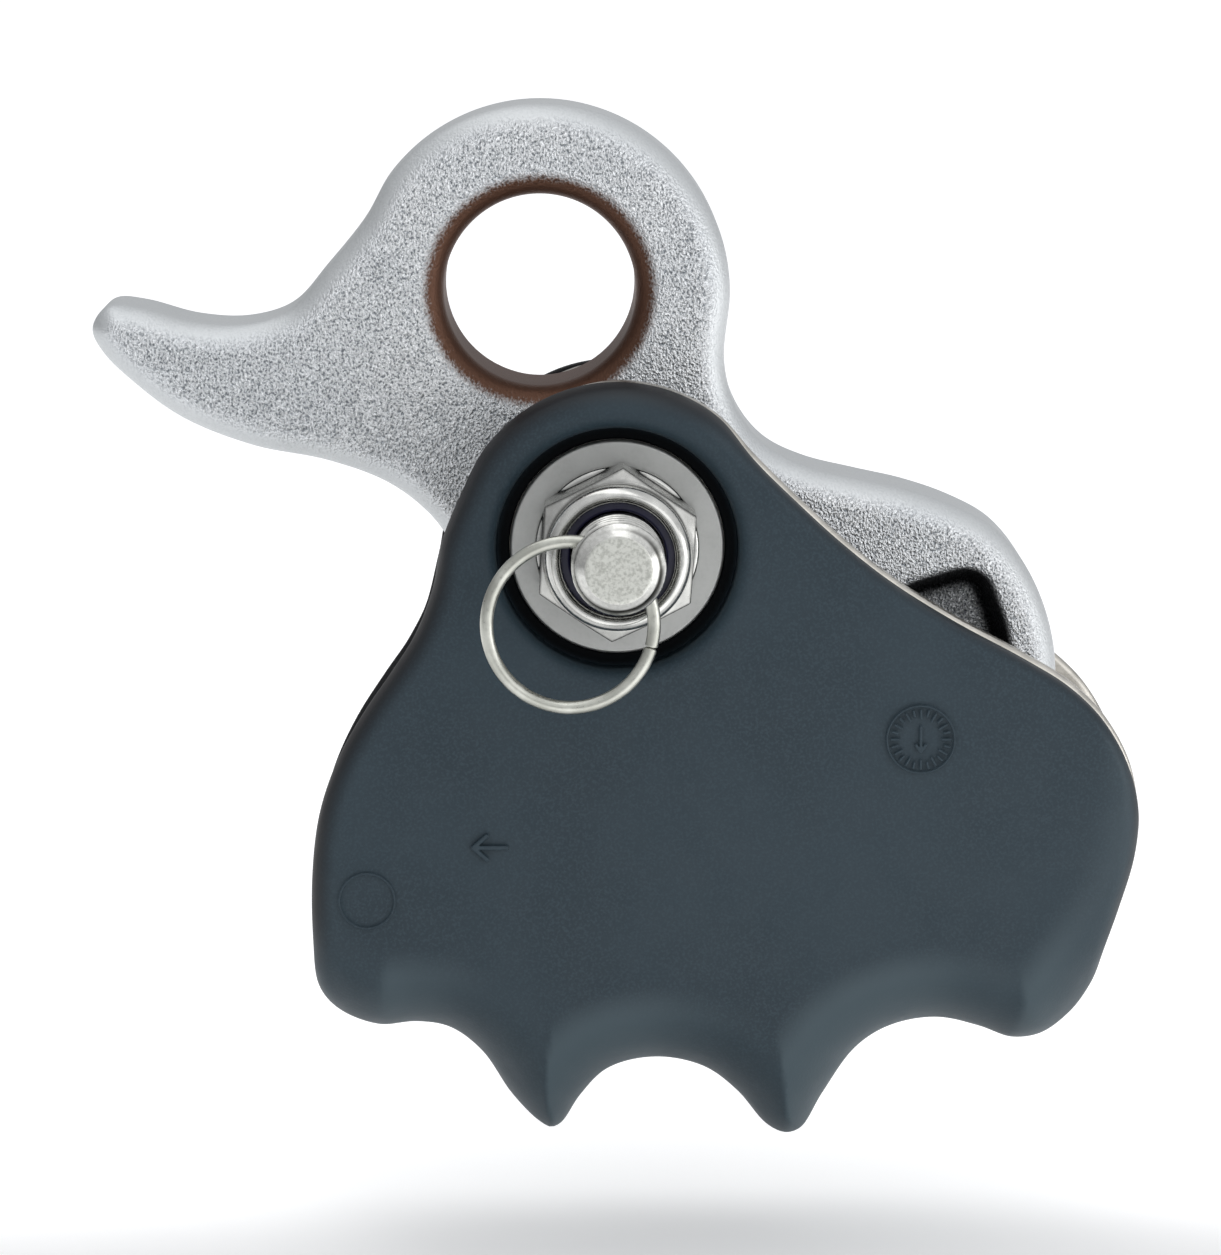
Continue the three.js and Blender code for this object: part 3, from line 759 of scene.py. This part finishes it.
def relief(name, drawing, centre_x, centre_z, half, height, material, step=0.09):
    """A small raised mark on the cover's front face, sunk a little into it, from a field in that plane."""
    face = -SIDE_HALF

    def field(x, y, z):
        flat = drawing(x - centre_x, z - centre_z) + 0 * y
        return rounded(flat, np.abs(y - face) - height + 0 * flat, height * 0.6)

    xs = lines(centre_x - half, centre_x + half, step)
    zs = lines(centre_z - half, centre_z + half, step)
    shape = surface_net(field, xs, lines(face - height, face + height, height / 3), zs, relax=1)
    add_piece(name, shape, material, "shell")


def segment(x, z, x0, z0, x1, z1):
    """Distance to a straight line between two points."""
    run_x, run_z = x1 - x0, z1 - z0
    along = np.clip(((x - x0) * run_x + (z - z0) * run_z) / (run_x**2 + run_z**2), 0, 1)
    return np.hypot(x - x0 - along * run_x, z - z0 - along * run_z)


def dial_drawing(x, z):
    """A mould maker's date dial: a ring of twenty-four ticks, long and short, and a plain pointer."""
    ticks = []
    for index in range(24):
        angle = math.radians(15 * index)
        start = 2.05 if index % 2 else 1.8
        ends = [(r * math.cos(angle), r * math.sin(angle)) for r in (start, 2.5)]
        ticks.append(segment(x, z, *ends[0], *ends[1]) - 0.1)
    rim = np.abs(np.hypot(x, z) - 2.85) - 0.08
    shaft = segment(x, z, 0, 1.05, 0, -1.05)
    barb = np.minimum(segment(x, z, 0, -1.05, -0.4, -0.5), segment(x, z, 0, -1.05, 0.4, -0.5))
    return joined(rim, *ticks, np.minimum(shaft, barb) - 0.13)


def arrow_drawing(x, z):
    """A plain arrow that points along the rope, towards the loaded end."""
    shaft = segment(x, z, -1.4, 0, 1.4, 0)
    barb = np.minimum(segment(x, z, -1.4, 0, -0.25, 1), segment(x, z, -1.4, 0, -0.25, -1))
    return np.minimum(shaft, barb) - 0.19


def ejector_drawing(x, z):
    """The round witness line of an ejector pin."""
    return np.abs(np.hypot(x, z) - 2.35) - 0.1


def make_marks(material):
    relief("date_dial", dial_drawing, 25.6, 18.9, 3.1, 0.1, material, 0.08)
    relief("direction_arrow", arrow_drawing, -10.8, 9.7, 1.8, 0.2, material)
    relief("ejector_mark", ejector_drawing, -21.2, 5.1, 2.6, 0.025, material)


# -------------------------------------------------- the arm


def arm_points():
    """Side view of the arm, measured from the pivot: release tail, eye, neck, brake lobe and hub."""
    tail = [
        (-44.6, 17.9), (-43.3, 19.8), (-40.6, 19.7), (-36, 18.5), (-31.6, 18.3), (-27.8, 19.5), (-24.8, 22.8),
    ]
    neck = [(9.2, 15), (10.3, 11), (12.7, 7.9), (16.2, 6.1), (20.6, 5), (25, 4), (29, 2.6)]
    lobe = [
        (32.4, 0.7), (35, -2.4), (36.9, -6.6), (37.7, -11), (37.3, -15.6), (35.3, -19.4), (31.4, -21.3),
        (25.8, -21.3), (19.6, -19.2), (13.2, -14.8), (8, -11.6),
    ]
    hub_underside = [(2, -10.4), (-4, -10), (-9.4, -7.2), (-12.9, -2.6), (-15.7, 1.7)]
    tail_underside = [(-19.3, 4.6), (-24.6, 6.6), (-31, 7.9), (-37, 10.3), (-41.2, 13.4), (-43.7, 15.9)]
    eye_arc = arc(EYE_X, EYE_Z - 0.4, EYE_OUTER, 158, 2, 11)
    return tail + eye_arc + neck + lobe + hub_underside + tail_underside


POCKET_MOUTH = [
    (20.4, -6.2), (24.4, -3.7), (27.5, -2.6), (30, -2.1), (31.9, -3),
    (33, -5.3), (34, -9), (33.2, -15.6), (25.4, -17),
]
POCKET_DEPTH = 3
BRAKE_GROOVES = [(22.2, -21.1), (25, -21.9), (28, -22.1), (31, -22.1), (33.9, -21.2)]
BRAKE_GROOVE_RADIUS = 1.1

arm_outline = Outline(smooth_curve(arm_points(), True, 9), soften=0.3)
pocket_outline = Outline(smooth_curve(POCKET_MOUTH, True, 12), soften=0.2)

BUSH_RADIUS = 6.1
SPRING_RADIUS = 8  # of the torsion spring's centreline
SPRING_WIRE = 0.55
SPRING_FOOT = math.radians(200)  # where it enters the front plate
SPRING_TOE = math.radians(110)  # where its other end seats in the arm


def arm_field(x, y, z):
    """A rounded slab, thinner at its hub, with the eye, both blind pockets, the spring's groove and slot, the
    bush's bore and the brake grooves."""
    z = z - PIVOT_HEIGHT
    from_pivot = np.hypot(x, z)
    from_eye = np.hypot(x - EYE_X, z - EYE_Z)
    edge_radius, eye_edge_radius = 2.7, 2.2
    outline = arm_outline.distance(x, z)
    sink = POCKET_DEPTH * smooth_step(-pocket_outline.distance(x, z) / 1.7)
    half = HUB_HALF + (ARM_HALF - HUB_HALF) * smooth_step((from_pivot - 13) / 5) - sink
    body = rounded(outline, np.abs(y) - half, edge_radius)
    body = np.maximum(body, rounded(EYE_RADIUS - from_eye, np.abs(y) - half, eye_edge_radius))
    groove = np.maximum(np.abs(from_pivot - SPRING_RADIUS - 0.1) - 1.2, y + HUB_HALF - 4.6)
    toe = x * math.cos(SPRING_TOE) + z * math.sin(SPRING_TOE)
    toe_across = -x * math.sin(SPRING_TOE) + z * math.cos(SPRING_TOE)
    slot = common(np.abs(toe - 9.8) - 2.5, np.abs(y + HUB_HALF - 3.6) - 1, np.abs(toe_across) - 0.85)
    body = soft_max(body, -np.minimum(groove, slot), 0.3)
    body = soft_max(body, BUSH_RADIUS + BOND_GAP - from_pivot, 0.5)
    for groove_x, groove_z in BRAKE_GROOVES:
        body = soft_max(body, BRAKE_GROOVE_RADIUS - np.hypot(x - groove_x, z - groove_z), 0.5)
    return body


def make_arm(material):
    low, high = box_mm("cam_arm")
    shape = surface_net(arm_field, *(lines(low[k], high[k], 0.35) for k in range(3)))
    x, y, z = shape[0].T
    z = z - PIVOT_HEIGHT
    from_eye = np.hypot(x - EYE_X, z - EYE_Z)
    outline = arm_outline.distance(x, z)
    into_pocket = pocket_outline.distance(x, z)
    masks = {
        # edge: a smoother finish on the rounded edges and round the eye, also painted darker there as shade
        "edge": np.maximum(smooth_step(1 + outline / 3.2), smooth_step((11 - from_eye) / 2.5)),
        # eye: where the painted dark brown reflection goes, inside and round the eye
        "eye": smooth_step((11 - from_eye) / 2.3),
        # painted shade on the blind pockets' sloping walls, not on their floors
        "pocket_wall_shade": smooth_step(-into_pocket / 0.6) * smooth_step((into_pocket + 2.8) / 1.1),
    }
    add_piece("forged_arm", shape, material, "arm", ["cam_arm"], masks)


# -------------------------------------------------- pivot hardware


def turned_corner(radius, drop, length=0.6):
    """Distance outside the cone that turns off a hexagon's corners; drop is measured from its end face."""
    start, run = HEX_HALF - 0.15, 1.18
    return ((radius - start) * length - drop * run) / math.hypot(length, run)


END_FLAT = 2.72  # radius of the bolt's flat end, inside its chamfer
THREAD_PITCH = 1.411  # 18 to the inch


def thread_depth(x, y, z):
    """How deep the bolt's thread is cut there, from 0 on a crest to 1 in a root."""
    wave = np.abs(((y / THREAD_PITCH + np.arctan2(z, x) / (2 * math.pi)) % 1) - 0.5) * 2
    return np.clip(1.2 * wave - 0.1, 0, 1) * smooth_step((-y - 13) / 2)


def bolt_field(x, y, z):
    """A threaded shank with a chamfered end and a cross hole, and a hexagon head on the far side."""
    z = z - PIVOT_HEIGHT
    radius = np.hypot(x, z)
    shank = (radius - BOLT_RADIUS + 0.5 * thread_depth(x, y, z)) * 0.75
    from_end = y + BOLT_END
    chamfer = (radius - END_FLAT - from_end * 1.3) * 0.61
    shank = soft_max(shank, chamfer, 0.12)
    shank = np.maximum(soft_max(shank, -from_end + 0 * radius, 0.1), y - NUT_SEAT - 1)
    hexagon = soft_max(hex_distance(x, z, HEX_HALF, 0), turned_corner(radius, HEAD_TOP - y), 0.15)
    end_faces = np.abs(y - (NUT_SEAT + HEAD_TOP) / 2) - (HEAD_TOP - NUT_SEAT) / 2 + 0 * radius
    head = soft_max(hexagon, end_faces, 0.25)
    across = CROSS_HOLE_AXIS[0] * z - CROSS_HOLE_AXIS[2] * x
    hole = np.hypot(y + CROSS_HOLE_AT, across) - CROSS_HOLE_RADIUS
    return soft_max(soft_min(shank, head, 0.5), -hole, 0.3)


def make_bolt(material):
    low, high = box_mm("pivot_bolt")
    fine = 0.13
    tip = np.arange(low[1] - 2 * fine, -NUT_FRONT + 0.4, fine)
    shank = np.arange(tip[-1] + 0.22, NUT_SEAT - 0.6, 0.3)
    head = np.arange(shank[-1] + 0.18, high[1] + 0.4, 0.16)
    side = lines(low[0], high[0], 0.14)
    shape = surface_net(bolt_field, side, np.concatenate([tip, shank, head]), side + PIVOT_HEIGHT)
    x, y, z = shape[0].T
    outside = smooth_step((np.hypot(x, z - PIVOT_HEIGHT) - 3.2) / 0.2)
    masks = {
        "end": smooth_step((-y - BOLT_END + 0.1) / 0.06),
        # root: painted shade in the thread's roots
        "root": smooth_step(1.4 * thread_depth(x, y, z - PIVOT_HEIGHT) - 0.1) * outside,
    }
    add_piece("threaded_bolt", shape, material, "shell", ["pivot_bolt"], masks)


NUT_HEX = 6.1  # length of its hexagon
NUT_SHOULDER = -NUT_SEAT - NUT_HEX  # where the hexagon ends and the collar begins
FLANGE_RADIUS, COLLAR_RADIUS = 6.95, 6.05


def nut_parts(x, y, z):
    """The nut's hexagon, the thin flange at its seat and its collar, measured from the pivot's height."""
    radius = np.hypot(x, z)
    reach = NUT_HEX / 2 - np.abs(y + NUT_SEAT + NUT_HEX / 2)
    hexagon = soft_max(hex_distance(x, z, HEX_HALF, HEX_TURN), turned_corner(radius, y - NUT_SHOULDER), 0.1)
    hexagon = soft_max(hexagon, turned_corner(radius, -NUT_SEAT - y), 0.1)
    hexagon = soft_max(hexagon, -reach + 0 * radius, 0.12)
    flange = rounded(radius - FLANGE_RADIUS, -NUT_SEAT - 1 - y + 0 * radius, 0.4)
    flange = np.maximum(flange, y + NUT_SEAT)
    collar = rounded(radius - COLLAR_RADIUS, -NUT_FRONT - y + 0 * radius, 1.0)
    collar = np.maximum(collar, y - NUT_SHOULDER - 1)
    return hexagon, flange, collar


def nut_field(x, y, z):
    """The nut with its bore, and a groove in its collar for the nylon insert."""
    z = z - PIVOT_HEIGHT
    radius = np.hypot(x, z)
    hexagon, flange, collar = nut_parts(x, y, z)
    body = soft_min(soft_min(hexagon, flange, 0.15), collar, 0.15)
    mouth_radius, insert_radius = 4.67, 5.05
    body = soft_max(body, np.where(y < -NUT_FRONT + 0.9, mouth_radius - radius, -9.0), 0.9)
    seat_middle, seat_half = (NUT_SHOULDER - 0.3 - NUT_FRONT + 0.8) / 2, 0.75
    body = np.maximum(body, -np.maximum(radius - insert_radius, np.abs(y - seat_middle) - seat_half))
    return soft_max(body, BOLT_RADIUS + 0.13 - radius, 0.3)


def make_nut(material):
    low, high = box_mm("lock_nut")
    side = lines(-7.4, 7.4, 0.13)
    shape = surface_net(nut_field, side, lines(low[1], high[1], 0.13), side + PIVOT_HEIGHT)
    x, y, z = shape[0].T
    z = z - PIVOT_HEIGHT
    radius = np.hypot(x, z)
    hexagon, flange, collar = nut_parts(x, y, z)
    flats = np.abs(hex_distance(x, z, HEX_HALF, HEX_TURN))
    shoulder = np.minimum(np.abs(y - NUT_SHOULDER), np.abs(turned_corner(radius, y - NUT_SHOULDER)))
    flange_seam = flats + 0.4 * np.abs(radius - 6.9) + 0.12
    on_collar, on_flange = (np.abs(hexagon) + np.abs(part) for part in (collar, flange))
    seams = joined(on_collar, on_flange, flats + shoulder, flange_seam)
    # painted shade along the seams where the hexagon meets the collar, the flange and its own flats
    painted_crease_shade = smooth_step(1 - seams / 0.3)
    off_collar = smooth_step((radius - COLLAR_RADIUS - 0.05) / 0.2)
    # painted shade on the hexagon's faces, lighter than in the seams
    on_hexagon = 0.3 * smooth_step(1 - np.abs(hexagon) / 0.1) * off_collar
    masks = {"painted_crease_shade": np.maximum(painted_crease_shade, on_hexagon)}
    add_piece("collar_nut", shape, material, "shell", ["lock_nut"], masks)


def make_keeper_ring(material):
    """A split ring of wire through the bolt's cross hole; its centre hangs at right angles to the hole."""
    radius, wire, offset = 6.9, 0.55, 6.3
    ends_at, gap = math.radians(-16), 0.025
    centre_x = offset * CROSS_HOLE_AXIS[2]
    centre_z = PIVOT_HEIGHT - offset * CROSS_HOLE_AXIS[0]
    angles = np.linspace(ends_at + gap, ends_at + 2 * math.pi - gap, 260)
    path = [
        (centre_x + radius * math.cos(a), -CROSS_HOLE_AT, centre_z + radius * math.sin(a)) for a in angles
    ]
    add_piece("wire_ring", swept(path, wire, 24), material, "ring", ["keeper_ring"])


def make_spring(material):
    """A torsion spring round the hub, from its foot in the front plate to its toe in the arm."""
    turns = 2.98 + (SPRING_TOE - SPRING_FOOT) / (2 * math.pi)
    start, pitch = -HUB_HALF - 0.2, 1.3
    steps = 80

    def at(radius, angle, y):
        return radius * math.cos(angle), y, PIVOT_HEIGHT + radius * math.sin(angle)

    path = [at(SPRING_RADIUS, SPRING_FOOT, -PLATE_OUTER + 0.9), at(SPRING_RADIUS, SPRING_FOOT, start - 0.9)]
    for i in range(1, steps + 1):
        share = i / steps
        angle = SPRING_FOOT + share * turns * 2 * math.pi
        path.append(at(SPRING_RADIUS, angle, start + share * turns * pitch))
    last = start + turns * pitch
    path += [at(SPRING_RADIUS + 1.3, SPRING_TOE, last), at(SPRING_RADIUS + 2.1, SPRING_TOE, last)]
    shape = swept(smooth_curve(path, False, 4), SPRING_WIRE, 14)
    add_piece("torsion_spring", shape, material, "shell", ["return_spring"])


def make_turned_parts(washer_steel, bright_steel, nylon, acetal, bronze):
    """Plain rings about the bolt, each given by its inner and outer radius and its two ends along Y."""
    near, far = WASHER_FACES
    bore = BOLT_RADIUS + 0.25
    sleeve_half = CHANNEL_HALF - 0.05
    insert_low, insert_high = box_mm("nut_insert")
    thrust_inner, thrust_outer = 5.2, 6.7
    thrust_low, thrust_high = HUB_HALF + BOND_GAP, CHANNEL_HALF - BOND_GAP
    front_washer = bore, WASHER_RADIUS, -far, -near
    rear_washer = bore, WASHER_RADIUS, near, far
    sleeve = bore - 0.1, SLEEVE_RADIUS, -sleeve_half, sleeve_half
    insert = BOLT_RADIUS + 0.08, insert_high[0], insert_low[1], insert_high[1]
    front_thrust = thrust_inner, thrust_outer, -thrust_high, -thrust_low
    rear_thrust = thrust_inner, thrust_outer, thrust_low, thrust_high
    bush = SLEEVE_RADIUS + BOND_GAP, BUSH_RADIUS, -HUB_HALF, HUB_HALF
    rows = [
        ("nut_washer", front_washer, 0.3, washer_steel, "shell", "washer_steel", "front_washer"),
        ("head_washer", rear_washer, 0.3, washer_steel, "shell", "washer_steel", "rear_washer"),
        ("spacer", sleeve, 0.2, bright_steel, "shell", "bright_steel", "spacer_sleeve"),
        ("locking_insert", insert, 0.25, nylon, "shell", "nylon", "nut_insert"),
        ("front_thrust", front_thrust, 0.2, acetal, "shell", "acetal", "front_thrust_washer"),
        ("rear_thrust", rear_thrust, 0.2, acetal, "shell", "acetal", "rear_thrust_washer"),
        ("plain_bush", bush, 0.2, bronze, "arm", "bronze", "arm_bush"),
    ]
    for name, (inner, outer, low, high), corner, material, body, slot, node in rows:
        profile = [(inner, low), (outer, low), (outer, high), (inner, high)]
        add_piece(name, turned(profile, corner), material, body, [node])


# -------------------------------------------------- studio


def add_softbox(name, place, aim, size, power):
    """A rectangular light, of a size in metres and a power in watts, turned towards a point."""
    light = bpy.data.lights.new(name, "AREA")
    light.shape = "RECTANGLE"
    light.size, light.size_y = size
    light.energy = power
    lamp = new_object(name, light)
    lamp.location = place
    lamp.rotation_euler = (Vector(aim) - Vector(place)).to_track_quat("-Z", "Y").to_euler()


def make_studio():
    """Paper under the tool, which hangs just clear of it, and three softboxes."""
    floor_height, half = cad_low.z - 0.0087, 12.0
    corners = [(-half, -half), (half, -half), (half, half), (-half, half)]
    mesh = bpy.data.meshes.new("paper_floor")
    mesh.from_pydata([(x, y, floor_height) for x, y in corners], [], [(0, 1, 2, 3)])
    mesh.materials.append(studio_paper())
    floor = new_object("paper_floor", mesh)

    aim = (0.004, 0, PIVOT_HEIGHT * MM)
    add_softbox("key_softbox", (0.5, -0.85, 0.25), aim, (0.8, 0.6), 1.0)
    add_softbox("top_softbox", (-0.1, -0.05, 0.9), aim, (1.5, 0.4), 1.7)
    add_softbox("low_softbox", (0.56, -0.22, 0.02), aim, (0.35, 0.3), 0.8)
    make_world()


def make_world():
    """A pale room: brightest overhead, lighter behind the camera and to the right. Each row is one ramp along
    a direction: where it starts and ends, and the light at both ends."""
    world = bpy.data.worlds.new("pale_room")
    bpy.context.scene.world = world
    world.use_nodes = True
    room = Nodes(world.node_tree)
    background = room.tree.nodes["Background"]
    background.inputs["Color"].default_value = linear(247, 248, 250)
    split = room.node("ShaderNodeSeparateXYZ")
    room.link(room.node("ShaderNodeTexCoord").outputs["Generated"], split.inputs[0])
    light = 0.0
    for axis, *ramp in (("Z", 0.1, 1.0, 0.4, 0.8), ("Y", -1.0, 0.1, 0.3, 0.0), ("X", -0.6, 1.0, 0.0, 0.2)):
        light = room.calc("ADD", light, room.span(split.outputs[axis], *ramp))
    room.link(light, background.inputs["Strength"])


def make_camera():
    """A long lens from almost straight in front, a little above."""
    azimuth, elevation, distance = math.radians(-0.5), math.radians(8), 0.48
    aim = Vector((-0.00056, -0.01215, (PIVOT_HEIGHT - 6.78) * MM))
    back = Vector((
        math.sin(azimuth) * math.cos(elevation),
        -math.cos(azimuth) * math.cos(elevation),
        math.sin(elevation),
    ))
    data = bpy.data.cameras.new("camera")
    data.lens = 163.16
    data.sensor_width = 36
    camera = new_object("camera", data)
    camera.location = aim + back * distance
    camera.rotation_euler = (-back).to_track_quat("-Z", "Y").to_euler()
    bpy.context.scene.camera = camera


make_camera()
make_studio()
bpy.context.scene.view_settings.view_transform = "Standard"

moulding = soft_moulding()
make_cover(moulding)
make_marks(moulding)
brushed = (1, 1, 6)
make_channel(
    worked_steel("pressed_steel", linear(214, 210, 202), linear(180, 177, 170), 0.34, 0.5, 0.012, brushed))
make_arm(cast_steel())
make_bolt(bolt_steel())
make_nut(worked_steel("nut_steel", linear(216, 216, 212), linear(186, 186, 183), 0.2, 0.6, 0.004))
make_keeper_ring(worked_steel("wire_steel", linear(204, 205, 197), linear(170, 171, 163), 0.32, 0.5, 0.004))
make_spring(worked_steel("spring_wire", linear(150, 150, 150), linear(112, 112, 112), 0.3, 0.4, 0.01))
make_turned_parts(
    worked_steel("stamped_steel", linear(178, 179, 177), linear(172, 173, 171), 0.5, 0.35, 0.005),
    worked_steel("sleeve_steel", linear(210, 210, 206), linear(182, 182, 178), 0.27, 0.4, 0.008),
    dull_plastic("navy_nylon", linear(20, 20, 52), linear(14, 14, 38), 0.4),
    dull_plastic("white_acetal", linear(226, 224, 216), linear(212, 210, 202), 0.45),
    worked_steel("bearing_bronze", linear(186, 150, 98), linear(150, 116, 70), 0.38, 0.6, 0.01),
)
